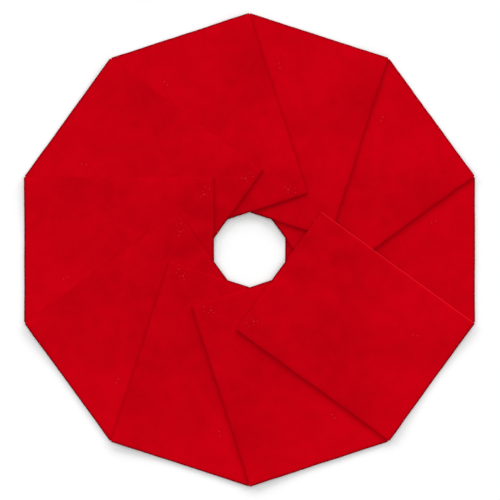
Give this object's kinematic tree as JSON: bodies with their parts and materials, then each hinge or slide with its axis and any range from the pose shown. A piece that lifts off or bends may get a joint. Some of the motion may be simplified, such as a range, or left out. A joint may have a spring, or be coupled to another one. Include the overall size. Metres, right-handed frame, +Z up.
{
  "type": "tree skirt",
  "caption": "Flat red felt tree skirt of lapped rectangular panels fanned round a trunk hole, with a hook-tab slit that folds open.",
  "frame": {"origin": "on the floor at the middle of the trunk hole", "axes": "+Z up, +Y towards a corner of the rim, the lowest panel lies along +X"},
  "size_m": [0.8696, 0.914, 0.0117],
  "materials": {
    "felt": "matte pressed felt",
    "bonding_tape": "open web of hot-melt fibre",
    "hook_tape": "woven tape with nylon hooks"
  },
  "bodies": {
    "base": {"panel_01": "felt", "panel_02": "felt", "panel_03": "felt", "panel_04": "felt", "panel_05": "felt", "seam_tape_02": "bonding_tape", "seam_tape_03": "bonding_tape", "seam_tape_04": "bonding_tape", "seam_tape_05": "bonding_tape", "seam_tape_06": "bonding_tape"},
    "leaf_06": {"panel_06": "felt", "seam_tape_07": "bonding_tape"},
    "leaf_07": {"panel_07": "felt", "seam_tape_08": "bonding_tape"},
    "leaf_08": {"panel_08": "felt", "seam_tape_09": "bonding_tape"},
    "leaf_09": {"panel_09": "felt", "seam_tape_10": "bonding_tape"},
    "leaf_10": {"panel_10": "felt", "hook_tab_1": "hook_tape", "hook_tab_2": "hook_tape", "hook_tab_3": "hook_tape"}
  },
  "joints": [
    {"name": "seam_06_bend", "type": "hinge", "parent": "base", "child": "leaf_06", "pos_m": [-0.06848, 0.14048, 0.0106], "axis": [-0.9998, 0, -0.0175], "range_deg": [0, 45]},
    {"name": "seam_07_bend", "type": "hinge", "parent": "leaf_06", "child": "leaf_07", "pos_m": [-0.13797, 0.0734, 0.0106], "axis": [-0.8089, -0.5877, -0.0175], "range_deg": [0, 45]},
    {"name": "seam_08_bend", "type": "hinge", "parent": "leaf_07", "child": "leaf_08", "pos_m": [-0.15477, -0.02171, 0.0106], "axis": [-0.309, -0.9509, -0.0175], "range_deg": [0, 45]},
    {"name": "seam_09_bend", "type": "hinge", "parent": "leaf_08", "child": "leaf_09", "pos_m": [-0.11245, -0.10854, 0.0106], "axis": [0.309, -0.9509, -0.0175], "range_deg": [0, 45]},
    {"name": "slit_flap", "type": "hinge", "parent": "leaf_09", "child": "leaf_10", "pos_m": [-0.02718, -0.1539, 0.0106], "axis": [0.8089, -0.5877, -0.0175], "range_deg": [0, 150]}
  ]
}
